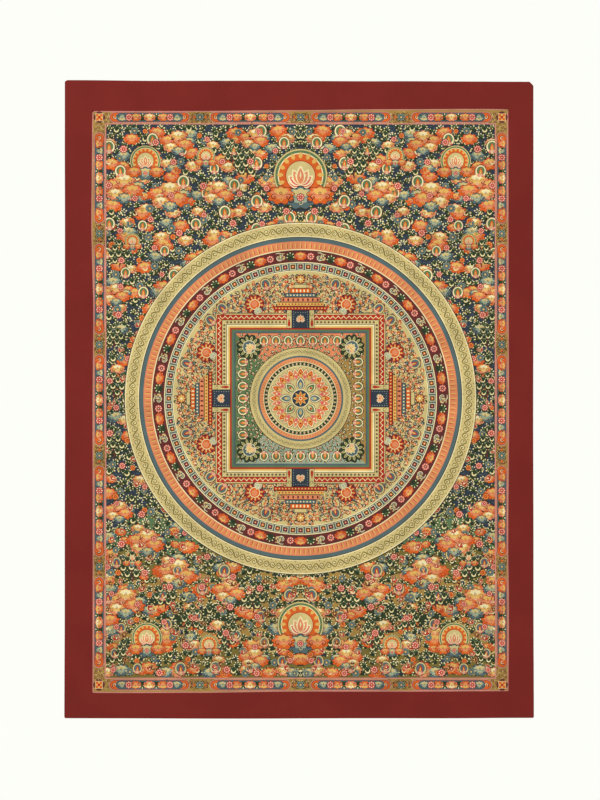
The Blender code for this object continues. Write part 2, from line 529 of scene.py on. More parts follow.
def copies_of(meshes, tree, **inputs):
    """What the tree makes of the meshes, given as (mesh, finish). It uses them up."""
    makers = []
    for mesh, finish in meshes:
        maker = bpy.data.objects.new(mesh.name, mesh)
        bpy.context.scene.collection.objects.link(maker)
        modifier = maker.modifiers.new(tree.name, "NODES")
        modifier.node_group = tree
        inputs["Paint"] = finish
        for item in tree.interface.items_tree:
            if item.in_out == "INPUT" and item.name in inputs:
                modifier[item.identifier] = inputs[item.name]
        makers.append(maker)
    ready = bpy.context.evaluated_depsgraph_get()
    copies = [bpy.data.meshes.new_from_object(maker.evaluated_get(ready)) for maker in makers]
    for maker, (mesh, _) in zip(makers, meshes):
        bpy.data.objects.remove(maker)
        bpy.data.meshes.remove(mesh)
    return copies


def repeat(motif, tree, mirror=False, **inputs):
    """Paints a motif wherever the tree sets it, and with mirror also on the sheet's other half."""
    names, meshes = zip(*films_of(motif))
    finished = [(mesh, paint_finish[name]) for name, mesh in zip(names, meshes)]
    for name, copies in zip(names, copies_of(finished, tree, **inputs)):
        add_film(name, copies)
        bpy.data.meshes.remove(copies)
        if mirror:
            points, corners, sizes = films[name][-1]
            other = points * (-1, 1, 1) + (2 * MIDDLE_X * MM, -MIRROR_LIFT * COAT, 0)
            films[name].append((other, corners, sizes))


def ring_of(motif, count, radius, first=0.0):
    middle = {"Middle X": MIDDLE_X * MM, "Middle Z": MIDDLE_Z * MM, "Count": count}
    repeat(motif, RING, **middle, **{"Radius": radius * MM, "First turn": math.radians(first)})


def row_of(motif, count, first, step, turn=0.0):
    ends = {"First X": first[0], "First Z": first[1], "Step X": step[0], "Step Z": step[1]}
    repeat(
        motif, ROW, Count=count, Turn=math.radians(turn), **{k: v * MM for k, v in ends.items()}
    )


def strew(motif, ground, spacing, seed, turns=(-20, 20), sizes=(0.85, 1.15), mirror=True):
    chance = dict(zip(("Least turn", "Most turn"), map(math.radians, map(float, turns))))
    chance.update(zip(("Least size", "Most size"), map(float, sizes)))
    repeat(motif, STREWN, mirror, Ground=ground, Spacing=spacing * MM, Seed=seed, **chance)


def ground_of(inside, cell=5.0, beyond=0.0):
    """The ground that motifs are strewn on: the cells of the picture whose middle is inside.

    It reaches so far beyond the picture's edge, into the painted frame.
    """
    x = np.arange(LEFT - beyond, RIGHT + beyond, cell)
    x, z = np.meshgrid(x, np.arange(BOTTOM - beyond, TOP + beyond, cell))
    chosen = inside(x + cell / 2, z + cell / 2)
    x, z = x[chosen] * MM, z[chosen] * MM
    step = cell * MM
    square = ((0, 0), (step, 0), (step, step), (0, step))
    points = np.concatenate([np.column_stack((x + a, x * 0, z + b)) for a, b in square])
    faces = np.arange(len(x))[:, None] + np.arange(4) * len(x)
    mesh = new_mesh("ground", points, faces.ravel(), np.arange(len(faces)) * 4)
    ground = bpy.data.objects.new("ground", mesh)
    bpy.context.scene.collection.objects.link(ground)
    return ground


def cleared(ground):
    mesh = ground.data
    bpy.data.objects.remove(ground)
    bpy.data.meshes.remove(mesh)


# The landscape behind everything: a night-blue sky with pale ripples, and at its foot low hills in
# ochre and green, each laid over the one behind it and lined along its ridge.
LEFT, RIGHT = -236.3, 239.8
BOTTOM, TOP = -730.4, -53.3
MIDDLE = MIDDLE_X, MIDDLE_Z = 1.75, -389.0
CIRCLE = 216.0

lay([("indigo", 0, bar(LEFT - 2, BOTTOM - 2, RIGHT + 2, TOP + 2))])


def hill(paint, ridge_paint, crest, rise, length, phase, coat):
    x = np.arange(LEFT - 2, RIGHT + 4, 4.0)
    across = np.abs(x - MIDDLE_X)
    ridge = crest + rise * np.sin(across / length + phase)
    ridge += 0.3 * rise * np.sin(across / length * 2.7)
    columns = [
        bar_part
        for x0, x1, z0, z1 in zip(x, x[1:], ridge, ridge[1:])
        for bar_part in sliced(((x0, BOTTOM - 2), (x1, BOTTOM - 2), (x1, z1), (x0, z0)))
    ]
    line = stroke(np.column_stack((x, ridge)), 1.3, taper=False)
    return [(paint, coat, columns), (ridge_paint, coat + 0.45, line)]


HILLS = (
    ("malachite", "straw", -545, 14, 24, 0.3),
    ("olive", "lamp_black", -572, 12, 17, 1.9),
    ("ochre", "forest", -604, 13, 21, 0.6),
    ("forest", "chalk", -642, 9, 15, 2.2),
    ("ochre", "maroon_lake", -664, 10, 25, 0.0),
    ("olive", "straw", -696, 8, 14, 1.1),
)
for step, row in enumerate(HILLS):
    lay(hill(*row, 0.4 + 0.4 * step))


# Where the lotus roundels stand, from the middle line, and their size
ROUNDELS = (
    (0, -116, 1.75),
    (0, -666, 1.5),
    (190, -98, 1.0),
    (188, -682, 1.0),
    (116, -92, 0.6),
    (112, -690, 0.62),
    (206, -196, 0.5),
    (206, -584, 0.5),
)


def outside(low, high, clear=-4.0, free=False):
    """The right half of the landscape between two heights, up to the great circle's edge.

    Free ground also keeps clear of the roundels and of the middle line.
    """

    def inside(x, z):
        across = x - MIDDLE_X
        chosen = (np.hypot(across, z - MIDDLE_Z) > CIRCLE + clear) & (x < RIGHT - 3)
        chosen &= (z < high) & (z > low) & (across > (8 if free else 0))
        for middle, height, size in ROUNDELS if free else ():
            chosen &= np.hypot(across - middle, z - height) > 19 * size + 7
        return chosen

    return ground_of(inside)


landscape = outside(BOTTOM + 3, TOP - 3)
sky = outside(-262, TOP - 6)
flank = outside(-560, -262)
foot = outside(BOTTOM + 5, -560, 4.0)
meadow = outside(BOTTOM + 5, TOP - 6, free=True)
high_meadow = outside(-262, TOP - 8, free=True)
low_meadow = outside(BOTTOM + 8, -560, 6.0, free=True)
ripple = [("azurite", 0.2, stroke([(-1.8, -0.7), (-0.8, 0.5), (0.8, 0.5), (1.8, -0.7)], 0.6))]
strew(ripple, landscape, 4.6, 3, (-12, 12))


# Foliage: dark sprays of leaves with pale tips, strewn over sky and hills, and trees of leafy
# tufts, each drawn as dark leaves round a pale crook.
def spray(leaf="forest", tip="chalk", vein="malachite", leaves=5, reach=4.6):
    fan = np.linspace(-105, 105, leaves)
    return [
        (leaf, 3, [blob(reach, leaves + 2, 0.3, 21, 1.05, 0.95)]),
        (tip, 5, petals(fan, 2.2, 1.5, start=reach * 0.52, steps=3)),
        (vein, 4, petals(fan[1:-1] + 18, reach * 0.7, 0.8, steps=2)),
        ("lamp_black", 5, [blob(0.8, steps=5, at=(0, -reach * 0.45))]),
    ]


def tuft(reach=6.4, coat=6):
    bend = np.linspace(-1.9, 1.9, 8)
    crook = np.column_stack((np.sin(bend), -0.12 - np.cos(bend))) * reach * 0.42
    tips = petals((-60, 0, 60), reach * 0.3, reach * 0.2, start=reach * 0.62, steps=2)
    fan = (-130, -80, -30, 30, 80, 130)
    veins = petals(fan, reach * 0.5, reach * 0.16, start=reach * 0.35, steps=2)
    return [
        ("lamp_black", coat, [blob(reach, 7, 0.28, 28)]),
        ("forest", coat + 1, [blob(reach * 0.93, 7, 0.3, 28)]),
        ("malachite", coat + 2, veins),
        ("straw", coat + 2, stroke(crook, reach * 0.34)),
        ("chalk", coat + 3, stroke(crook, reach * 0.2) + tips),
    ]


def tree(coat=14):
    parts = [("maroon_lake", coat - 1, stroke([(0, -12), (-1.2, -6), (0.8, 0), (0, 8)], 2.6))]
    tufts = (
        (-5, -2, 0.9),
        (6, -2, 0.9),
        (-11, 6, 1),
        (1, 7, 1),
        (11, 6, 1),
        (-6, 15, 0.9),
        (6, 15, 0.9),
        (0, 22, 0.8),
    )
    for step, (x, z, size) in enumerate(tufts):
        parts += moved(tuft(coat=coat), x, z, size=size, lift=0.3 * step)
    return parts


strew(spray(), landscape, 9.2, 11, (-40, 40))
strew(spray("forest", "straw", "olive", 4, 3.8), landscape, 10.5, 12, (-180, 180))
strew(spray("indigo", "chalk", "azurite", 5, 4.0), landscape, 15.0, 13, (-60, 60))
strew(tuft(5.6), landscape, 19.0, 14, (-25, 25))


# Clouds: banks of scalloped lobes, shaded from orange at the foot to cream at the crest, with a
# curl drawn on either side. Small ones drift everywhere, and great banks of them stand in pairs.
def cloud(body, glow, crest, line, reach):
    return [
        (line, 6, [blob(reach, 9, 0.26, 45, 1.12, 0.74)]),
        (body, 7, [blob(reach * 0.94, 9, 0.26, 45, 1.12, 0.73)]),
        (glow, 8, [blob(reach * 0.7, 9, 0.26, 36, 1.16, 0.66, at=(0, reach * 0.14))]),
        (crest, 9, [blob(reach * 0.42, 7, 0.22, 28, 1.25, 0.6, at=(0, reach * 0.3))]),
        (line, 10, curls(reach * 0.26, 0.6, 1.3, (reach * 0.52, -reach * 0.14), -60)),
        (line, 10, curl(reach * 0.16, 0.5, 1, at=(0, reach * 0.16), turn=90, steps=8)),
        (crest, 10, curl(reach * 0.2, 0.55, 1, at=(0, -reach * 0.3), turn=-90)),
    ]


# Their body, glow, crest and line
WARM = ("red_lead", "sandalwood", "orpiment", "cinnabar")
PALE = ("sandalwood", "orpiment", "chalk", "maroon_lake")
COOL = ("azurite", "pale_azurite", "straw", "lamp_black")
DEEP = (*WARM[:3], "maroon_lake")
for ground, apart in ((sky, 1.0), (foot, 1.2), (flank, 1.9)):
    strew(cloud(*WARM, 11.0), ground, 31.0 * apart, 31, (-12, 12))
    strew(cloud(*PALE, 9.0), ground, 29.0 * apart, 32, (-10, 10))
    strew(cloud(*COOL, 9.5), ground, 40.0 * apart, 33, (-15, 15))
    strew(moved(cloud(*WARM, 7.0), lift=2), ground, 33.0 * apart, 35)


def bank():
    lobes = (
        (COOL, -15, 2, 9),
        (WARM, 14, 3, 11),
        (PALE, 0, 9, 12),
        (WARM, -9, -3, 12),
        (PALE, 10, -6, 10),
        (COOL, 0, -11, 9),
    )
    parts = []
    for step, (colours, x, z, reach) in enumerate(lobes):
        parts += moved(cloud(*colours, reach), x, z, lift=6 + step)
    return parts


# Where banks and trees stand above the circle and below it, from the middle line, and their size
BANKS_ABOVE = (
    *((56, -72, 0.8), (150, -76, 0.9), (216, -132, 1.1)),
    *((160, -142, 1.1), (100, -138, 0.9), (226, -262, 0.8)),
)
BANKS_BELOW = (
    *((222, -528, 0.8), (188, -566, 1.0), (150, -604, 1.1)),
    *((86, -626, 0.9), (214, -640, 1.1), (56, -708, 0.8)),
)
TREES_ABOVE = (
    *((66, -108, 1.0), (84, -92, 0.8), (222, -218, 0.9)),
    *((229, -318, 0.8), (229, -380, 0.9), (229, -452, 0.9)),
)
TREES_BELOW = (
    *((206, -602, 1.0), (58, -640, 1.0), (166, -636, 0.9)),
    *((132, -664, 0.9), (216, -706, 0.8), (88, -684, 0.9)),
)
for motif, places in (
    (bank, BANKS_ABOVE),
    (bank, BANKS_BELOW),
    (tree, TREES_ABOVE),
    (tree, TREES_BELOW),
):
    for step, (x, z, size) in enumerate(places):
        for side in (-1, 1):
            lay(moved(motif(), MIDDLE_X + side * x, z, size=size, flip=side, lift=0.15 * step))


# Flowers: peonies in rose and orange and blue rosettes, each with its petals outlined, and small
# haloed buds that stand in arches.
def peony(body="lac_rose", rim="chalk", heart="cinnabar", radius=4.6):
    fan = range(0, 360, 45)
    return [
        ("maroon_lake", 10, [blob(radius, 8, 0.2, 24)]),
        (body, 11, [blob(radius * 0.88, 8, 0.22, 24)]),
        (rim, 12, petals(fan, radius * 0.34, radius * 0.26, start=radius * 0.45, steps=2)),
        (heart, 12, [blob(radius * 0.36, 5, 0.25, 15)]),
        (rim, 13, [blob(radius * 0.14, steps=5)]),
    ]


def rosette(body="azurite", rim="pale_azurite", heart="orpiment", radius=5.0):
    fan = range(0, 360, 45)
    return [
        ("lamp_black", 10, [blob(radius, 8, 0.3, 24)]),
        (rim, 11, petals(fan, radius * 0.86, radius * 0.62, start=radius * 0.08, steps=4)),
        (body, 12, petals(fan, radius * 0.66, radius * 0.4, start=radius * 0.16, steps=3)),
        (heart, 13, [blob(radius * 0.24, steps=7)]),
    ]


def niche(halo, field, bud, reach=6.0, coat=14):
    sepals, edges = (-84, -50, 50, 84), (-70, -25, 25, 70)
    return [
        ("maroon_lake", coat, [blob(reach, steps=20, high=1.15)]),
        (halo, coat + 1, [blob(reach * 0.9, steps=20, high=1.15)]),
        (field, coat + 2, [blob(reach * 0.68, steps=18, high=1.12, at=(0, reach * 0.06))]),
        (bud, coat + 3, [petal(reach * 1.3, reach * 0.62, (0, -reach * 0.7), steps=5)]),
        ("orpiment", coat + 4, [petal(reach * 0.8, reach * 0.26, (0, -reach * 0.5), steps=4)]),
        (
            "lac_rose",
            coat + 4,
            petals(sepals, reach * 0.62, reach * 0.34, at=(0, -reach * 0.8), steps=3),
        ),
        (
            "chalk",
            coat + 5,
            petals(edges, reach * 0.5, reach * 0.12, at=(0, -reach * 0.78), steps=2),
        ),
    ]


strew(moved(peony(), lift=11), meadow, 32.0, 21)
strew(rosette(), meadow, 27.0, 22)
strew(peony("red_lead", "orpiment", "cinnabar", 4.0), meadow, 34.0, 23)
strew(niche("chalk", "malachite", "red_lead", 7.0), high_meadow, 31.0, 24, (-6, 6))
strew(niche("straw", "azurite", "cinnabar", 7.0), low_meadow, 31.0, 25, (-6, 6))


# Flames and curling foam: tapering curls in red and cream, thick along the foot of the picture.
def flames(body, edge, reach=6.0):
    parts = []
    for hand, turn, size, x in ((1, -20, 1.0, 0.0), (-1, 35, 0.8, 3.0), (1, -60, 0.7, -3.2)):
        for paint, coat, width in ((edge, 18 + size, 2.6), (body, 19 + size, 1.7)):
            tongue = curl(reach * 0.62 * size, width * size, hand, 1.0, (x, x * 0.2), turn, 9)
            parts.append((paint, coat, tongue))
    return [*parts, (edge, 21, [blob(0.9, steps=6)])]


strew(flames("cinnabar", "chalk"), low_meadow, 24.0, 41, (-70, 70))
strew(flames("maroon_lake", "orpiment", 5.0), low_meadow, 30.0, 42, (-70, 70))
strew(flames("cinnabar", "chalk", 5.0), flank, 30.0, 43, (-70, 70))
for ground in (landscape, sky, flank, foot, meadow, high_meadow, low_meadow):
    cleared(ground)


# Lotus roundels: an open lotus before a halo, on a bank of cloud. The largest stand above and
# below the great circle, and smaller ones in the corners.
def lotus(outer, inner, rim="chalk", reach=10.0, coat=12):
    parts = []
    for step, fan in enumerate(((-80, 80), (-54, 54), (-27, 27), (0,))):
        long, fill = reach * (1 - abs(fan[0]) / 260), inner if step > 1 else outer
        level = coat + 1.3 * step
        parts += [
            (rim, level, petals(fan, long, reach * 0.5, steps=6)),
            (fill, level + 0.5, petals(fan, long * 0.85, reach * 0.35, start=0.3, steps=5)),
            (rim, level + 0.9, petals(fan, long * 0.4, reach * 0.1, start=reach * 0.3, steps=2)),
        ]
    return parts


def roundel(reach=19.0):
    fan = range(-110, 120, 22)
    sprigs = petals(fan, reach * 0.26, reach * 0.16, start=reach * 0.62, steps=3)
    return [
        ("lamp_black", 13, sliced(blob(reach, steps=48))),
        ("straw", 14, band(reach * 0.93, reach * 0.985, 48)),
        ("malachite", 14, band(reach * 0.84, reach * 0.93, 48)),
        ("chalk", 14, band(reach * 0.8, reach * 0.84, 48)),
        ("red_lead", 14, sliced(blob(reach * 0.8, steps=40))),
        ("orpiment", 15, sprigs),
        ("straw", 15, sliced(blob(reach * 0.56, steps=32))),
        ("cinnabar", 16, band(reach * 0.53, reach * 0.56, 32)),
        *moved(lotus("lac_rose", "sandalwood", reach=reach * 0.72, coat=15), z=-reach * 0.34),
        *moved(cloud(*COOL, reach * 0.62), z=-reach * 0.82, lift=12),
        *moved(cloud(*DEEP, reach * 0.5), -reach * 0.72, -reach * 0.72, lift=14),
        *moved(cloud(*DEEP, reach * 0.5), reach * 0.72, -reach * 0.72, lift=14),
        *moved(peony(radius=reach * 0.16), z=-reach * 0.8, lift=14),
    ]


for x, z, size in ROUNDELS:
    for side in (-1, 1) if x else (1,):
        lay(moved(roundel(), MIDDLE_X + side * x, z, size=size))


# The great circle: rings of pale gold scrolls, blue-grey, brushed salmon, a garland and a course of
# tiles, painted over the landscape.
def nested(outer, rows):
    """Each row's paint, inner reach and outer reach, one row inside the other."""
    for paint, inner in rows:
        yield paint, inner, outer
        outer = inner


RINGS = (
    ("lamp_black", 215.2),
    ("chalk", 213.9),
    ("straw", 199.2),
    ("chalk", 198.0),
    ("lamp_black", 197.2),
    ("azurite", 192.6),
    ("sandalwood", 183.0),
    ("chalk", 181.8),
    ("maroon_lake", 167.2),
    ("chalk", 166.0),
    ("azurite", 157.0),
    ("chalk", 156.0),
)
lay([(paint, 27, band(*reach, 200, MIDDLE)) for paint, *reach in nested(CIRCLE, RINGS)])
lay([("straw", 26, sliced(blob(157.0, steps=160, at=MIDDLE)))])

wave = np.linspace(0, 1, 13)
stem = np.column_stack(((wave - 0.5) * 15.2, 3.6 * np.sin(wave * 2 * math.pi)))
leaves = ((-6.8, 3.8, -60), (0.6, 5.2, 30), (6.8, -4.2, 120), (-0.6, -5.6, 210))
scroll = [
    ("olive", 28, stroke(stem, 1.0, taper=False)),
    ("olive", 28, curl(3.6, 1.1, 1, 1.4, (-3.9, -0.9), 0)),
    ("olive", 28, curl(3.6, 1.1, 1, 1.4, (3.9, 0.9), 180)),
    ("chalk", 29, curl(2.8, 0.7, 1, 1.0, (-3.7, -0.9), 0, 7)),
    ("chalk", 29, curl(2.8, 0.7, 1, 1.0, (4.1, 0.9), 180, 7)),
    ("olive", 29, [petal(2.4, 1.1, (x, z), turn, steps=2) for x, z, turn in leaves]),
]
ring_of(scroll, 85, 206.6)
brushed = [
    ("orpiment", 28, [petal(8.6, 1.6, start=-4.3, steps=4)]),
    ("cinnabar", 28, [petal(7.4, 0.8, (1.4, 0), start=-4.6, steps=3)]),
]
ring_of(brushed, 200, 187.8)

GARLAND = (
    moved(cloud(*WARM, 7.6), lift=22),
    moved(peony(heart="maroon_lake", radius=5.2), lift=18),
    [
        ("chalk", 28, curl(5.8, 2.6, 1, 1.1, (-1.6, 0), -30)),
        ("azurite", 29, curl(5.4, 1.2, 1, 1.1, (-1.6, 0), -30)),
        ("straw", 28, curl(4.6, 2.2, -1, 1.1, (3.4, 0), 30)),
        ("cinnabar", 29, [blob(1.1, steps=6, at=(3.4, 0))]),
    ],
    moved(spray(reach=6.0), lift=25),
)
for step, motif in enumerate(GARLAND):
    ring_of(motif, 22, 174.4, step * 360 / 88)


def tile(*paints):
    square = np.array(((-1, -1), (1, -1), (1, 1), (-1, 1)))
    sizes = enumerate(zip(paints, (3.6, 2.9, 1.6, 0.6)))
    return [(paint, 28 + step, [square * half]) for step, (paint, half) in sizes]


ring_of(tile("chalk", "indigo", "cinnabar", "chalk"), 54, 161.5)
ring_of(tile("chalk", "forest", "red_lead", "chalk"), 54, 161.5, 360 / 108)


# The ground inside the rings: a close mosaic of small curls and buds on straw, out to the tiles.
COURT = 104.0
inside_rings = ground_of(
    lambda x, z: (np.hypot(x - MIDDLE_X, z - MIDDLE_Z) < 152)
    & (x > MIDDLE_X)
    & (np.maximum(np.abs(x - MIDDLE_X), np.abs(z - MIDDLE_Z)) > COURT - 3),
    4.0,
)
MOSAIC = (
    ("maroon_lake", "chalk", 5.0, 51),
    ("indigo", "pale_azurite", 6.4, 52),
    ("cinnabar", "orpiment", 6.2, 53),
    ("red_lead", "chalk", 7.0, 54),
    ("forest", "straw", 7.0, 55),
)
for body, rim, spacing, seed in MOSAIC:
    bud = [(body, 28, [blob(2.3, 5, 0.3, 15)]), (rim, 29, curl(1.5, 0.8, 1, 0.9, steps=6))]
    strew(bud, inside_rings, spacing, seed, (-180, 180))
cleared(inside_rings)


# The court: a square wall in bands of five colours with strings of beads, open at a stepped gate
# in the middle of each side, and its four quarters inside.
def wall_side(inner, outer):
    """One side of a square band, with its ends cut at a mitre, turned to all four sides."""
    side = np.array(((-outer, outer), (outer, outer), (inner, inner), (-inner, inner)))
    return [
        part
        for a in (0, 90, 180, 270)
        for part in sliced(turned(side, a) + MIDDLE)
    ]


quarters = []
for side, paint in zip((0, 90, 180, 270), ("sandalwood", "ochre", "pale_azurite", "malachite")):
    corner = np.array(((0, 0), (80, 80), (-80, 80)))
    quarters.append((paint, 32, sliced(turned(corner, side) + MIDDLE)))
lay(quarters)
quarter_ground = ground_of(
    lambda x, z: (np.hypot(x - MIDDLE_X, z - MIDDLE_Z) > 61)
    & (x > MIDDLE_X)
    & (np.maximum(np.abs(x - MIDDLE_X), np.abs(z - MIDDLE_Z)) < 78),
    3.0,
)
sprig = [
    ("chalk", 34, curl(1.9, 0.8, 1, 1.0, steps=6)),
    ("forest", 33, [blob(2.2, 5, 0.3, 15)]),
    ("cinnabar", 35, [blob(0.7, steps=5, at=(1.4, 1.0))]),
]
strew(sprig, quarter_ground, 4.4, 61, (-180, 180))
cleared(quarter_ground)
WALL = (
    ("lamp_black", 104.0),
    ("straw", 102.6),
    ("cinnabar", 96.4),
    ("lamp_black", 95.8),
    ("straw", 91.0),
    ("lamp_black", 90.4),
    ("chalk", 88.4),
    ("orpiment", 86.4),
    ("cinnabar", 84.4),
    ("malachite", 82.4),
    ("azurite", 80.4),
    ("lamp_black", 79.8),
)
WALL_EDGE = 104.7
lay([(paint, 32, wall_side(*reach)) for paint, *reach in nested(WALL_EDGE, WALL)])
dip = [(-3.2, 1.6), (-1.8, -0.6), (0, -1.4), (1.8, -0.6), (3.2, 1.6)]
swag = [
    ("chalk", 33, stroke(dip, 0.8, taper=False)),
    ("orpiment", 34, [blob(1.1, steps=6, at=(0, -1.6))]),
]
bead = [("maroon_lake", 33, [blob(1.5, 4, 0.3, 12)]), ("malachite", 34, [blob(0.7, steps=5)])]
for side in range(4):
    turn = 90 * side
    for motif, count, reach, pitch in ((swag, 30, 99.6, 6.6), (bead, 40, 93.4, 4.6)):
        first = turned([(-(count - 1) / 2 * pitch, reach)], turn)[0] + MIDDLE
        row_of(motif, count, first, turned([(pitch, 0)], turn)[0], turn)


def tier(paint, half_width, low, high, coat):
    inner = half_width - 0.5
    outline = ((-half_width, low), (half_width, low), (half_width, high), (-half_width, high))
    field = ((-inner, low + 0.5), (inner, low + 0.5), (inner, high - 0.5), (-inner, high - 0.5))
    return [("lamp_black", coat, pieces_of(outline)), (paint, coat + 1, pieces_of(field))]


TIERS = (
    ("indigo", 11, -18, 4),
    ("cinnabar", 33, 4, 9),
    ("orpiment", 29, 9, 14),
    ("sandalwood", 24, 14, 20),
    ("azurite", 19, 20, 25),
    ("red_lead", 13, 25, 31),
    ("straw", 8, 31, 36),
)
posts = [(x, z) for x in (-8.5, 8.5) for z in range(-16, 4, 3)]
gate = [
    *tier("straw", 17, -18, 8, 34),
    *(part for row in TIERS for part in tier(*row, 36)),
    ("orpiment", 38, [blob(1.1, steps=6, at=(x, 6.5)) for x in range(-30, 31, 4)]),
    ("cinnabar", 38, [blob(1.1, steps=6, at=(x, 11.5)) for x in range(-26, 27, 4)]),
    ("maroon_lake", 38, [petal(4.4, 2.6, (x, 14.8), steps=3) for x in range(-21, 22, 6)]),
    ("chalk", 38, [blob(1.0, steps=6, at=(x, 22.5)) for x in range(-16, 17, 4)]),
    ("chalk", 38, [petal(4.2, 2.2, (x, 25.8), steps=3) for x in (-9, -4.5, 0, 4.5, 9)]),
    *moved(lotus("lac_rose", "red_lead", reach=8.0, coat=38), z=-9),
    ("pale_azurite", 38, [blob(0.55, steps=5, at=post) for post in posts]),
    ("pale_azurite", 38, [blob(0.55, steps=5, at=(x, 1.2)) for x in range(-6, 7, 3)]),
    ("malachite", 37, curls(3.4, 1.0, 1.1, (4.6, -2.4), 60)),
    ("cinnabar", 37, [petal(12, 3.4, (x, -16.8), 0, 0, 0.5, 4) for x in (-14, 14)]),
    ("olive", 37, curls(3.0, 0.8, 1.2, (-14, -1.0))),
    *moved(rosette("orpiment", "cinnabar", "chalk", 6.4), z=42, lift=28),
    ("straw", 37, curls(6, 1.6, 1.1, (31, 15), -20)),
]
ring_of(gate, 4, COURT)
arches = niche("chalk", "malachite", "red_lead", 5.8, 36)
for side in range(4):
    first = turned([(-45, 70.6)], 90 * side)[0] + MIDDLE
    row_of(arches, 7, first, turned([(15, 0)], 90 * side)[0], 90 * side)
for away in (-41, -17, 17, 41):
    ring_of(niche("straw", "azurite", "cinnabar", 7.0, 38), 4, 146, away)

fan = range(-120, 121, 30)
jewel = [
    ("maroon_lake", 34, [blob(13.0, 7, 0.2, 35, 0.95, 1.0)]),
    ("cinnabar", 35, petals(fan, 7.6, 4.6, start=5.2, steps=4)),
    ("orpiment", 36, petals(fan, 4.6, 2.0, start=6.2, steps=3)),
    ("chalk", 37, [blob(6.6, steps=18)]),
    ("red_lead", 38, [blob(5.7, steps=18)]),
    ("sandalwood", 39, [blob(3.8, steps=14, at=(0, 0.8))]),
    *moved(lotus("azurite", "pale_azurite", reach=7.5, coat=38), z=-11),
]
ring_of(jewel, 4, 128, 26)
ring_of(jewel, 4, 128, -26)

fan = range(0, 360, 30)
vase = [
    ("lamp_black", 38, [blob(16.0, 11, 0.16, 44)]),
    ("forest", 39, [blob(15.2, 11, 0.16, 44)]),
    ("straw", 40, petals(fan, 6.4, 3.2, start=7.4, steps=4)),
    ("malachite", 41, petals(fan, 4.2, 1.5, start=8.4, steps=3)),
    ("chalk", 42, [blob(8.2, steps=24)]),
    ("azurite", 43, [blob(7.5, steps=24)]),
    *moved(lotus("red_lead", "orpiment", reach=9.6, coat=44), z=-4.4),
]
ring_of(vase, 4, 89, 45)


# The heart of the court: rings like the great ones, and a lotus of eight petals on sixteen.
HEART = (
    ("lamp_black", 62.0),
    ("straw", 52.4),
    ("azurite", 50.2),
    ("sandalwood", 45.4),
    ("chalk", 44.6),
    ("forest", 40.4),
    ("chalk", 39.6),
)
HEART_EDGE = 62.7
lay([(paint, 38, band(*reach, 96, MIDDLE)) for paint, *reach in nested(HEART_EDGE, HEART)])
lay([("straw", 37, sliced(blob(40.0, steps=72, at=MIDDLE)))])
ring_of(moved(scroll, size=0.5, lift=11), 48, 57.2)
ring_of(moved(brushed, size=0.56, lift=11), 90, 47.8)
studs = [
    ("chalk", 39, [petal(3.4, 2.2, start=-1.7, steps=3)]),
    ("cinnabar", 40, [blob(0.7, steps=5)]),
]
ring_of(studs, 56, 42.5)


def lotus_petal(length, width, body, inner, bud, coat):
    return [
        ("maroon_lake", coat, [petal(length, width, steps=7)]),
        ("chalk", coat + 1, [petal(length * 0.93, width * 0.86, start=length * 0.03, steps=7)]),
        (body, coat + 2, [petal(length * 0.8, width * 0.68, start=length * 0.06, steps=6)]),
        (inner, coat + 3, [petal(length * 0.52, width * 0.38, start=length * 0.12, steps=5)]),
        (bud, coat + 4, [blob(width * 0.13, steps=7, at=(0, length * 0.46))]),
    ]


ring_of(lotus_petal(15.5, 10.5, "red_lead", "orpiment", "cinnabar", 38), 16, 23.6)
ring_of(lotus_petal(15.5, 8.5, "sandalwood", "lac_rose", "chalk", 39), 16, 22.6, 11.25)
ring_of(lotus_petal(16.0, 11.5, "azurite", "pale_azurite", "orpiment", 43), 4, 10.5)
ring_of(lotus_petal(16.0, 11.5, "malachite", "straw", "cinnabar", 43), 4, 10.5, 45)
fan = range(0, 360, 45)
middle = [
    ("chalk", 48, [blob(11.2, steps=36)]),
    ("indigo", 49, [blob(10.3, steps=36)]),
    ("orpiment", 50, petals(fan, 8.4, 3.6, start=0.6, steps=5)),
    ("red_lead", 51, petals(fan, 6.0, 1.8, start=1.4, steps=4)),
    ("chalk", 52, [blob(2.2, steps=12)]),
    ("cinnabar", 53, [blob(1.3, steps=9)]),
]
lay(moved(middle, *MIDDLE))


# The painted frame: a pink line along the border's edge and another round the picture, and between
# them long cartouches with rounded ends, parted by flowers.
WINDOW_TOP = ((-287, -36.9), (-125, -36.7), (-5, -35.7), (95, -34.6), (220, -34.2), (287, -35.0))
WINDOW_BOTTOM = (
    *((-287, -748.6), (-215, -749.2), (-125, -748.9)),
    *((-5, -747.4), (120, -747.5), (287, -746.8)),
)
WINDOW_LEFT = (
    *((-780, -252.7), (-630, -252.8), (-410, -253.2), (-285, -252.4)),
    *((-175, -254.6), (-65, -253.7), (0, -252.5)),
)
WINDOW_RIGHT = (
    *((-780, 255.8), (-650, 256.8), (-570, 256.1)),
    *((-420, 257.2), (-160, 256.5), (0, 256.2)),
)
LINE = 1.3


def eased(rows, along):
    """Where an edge lies at a place along it, with a soft bend at every row, in millimetres."""
    rows = np.asarray(rows, float)
    along = np.clip(np.asarray(along, float), rows[0, 0], rows[-1, 0])
    low = np.clip(np.searchsorted(rows[:, 0], along, "right") - 1, 0, len(rows) - 2)
    share = (along - rows[low, 0]) / (rows[low + 1, 0] - rows[low, 0])
    return rows[low, 1] + (rows[low + 1, 1] - rows[low, 1]) * share * share * (3 - 2 * share)


def margin(wide, above, below):
    """Four bars round the picture: one above it, one below, and one on each side between them."""
    return [
        *bar(LEFT - wide, TOP, RIGHT + wide, TOP + above),
        *bar(LEFT - wide, BOTTOM - below, RIGHT + wide, BOTTOM),
        *bar(LEFT - wide, BOTTOM, LEFT, TOP),
        *bar(RIGHT, BOTTOM, RIGHT + wide, TOP),
    ]


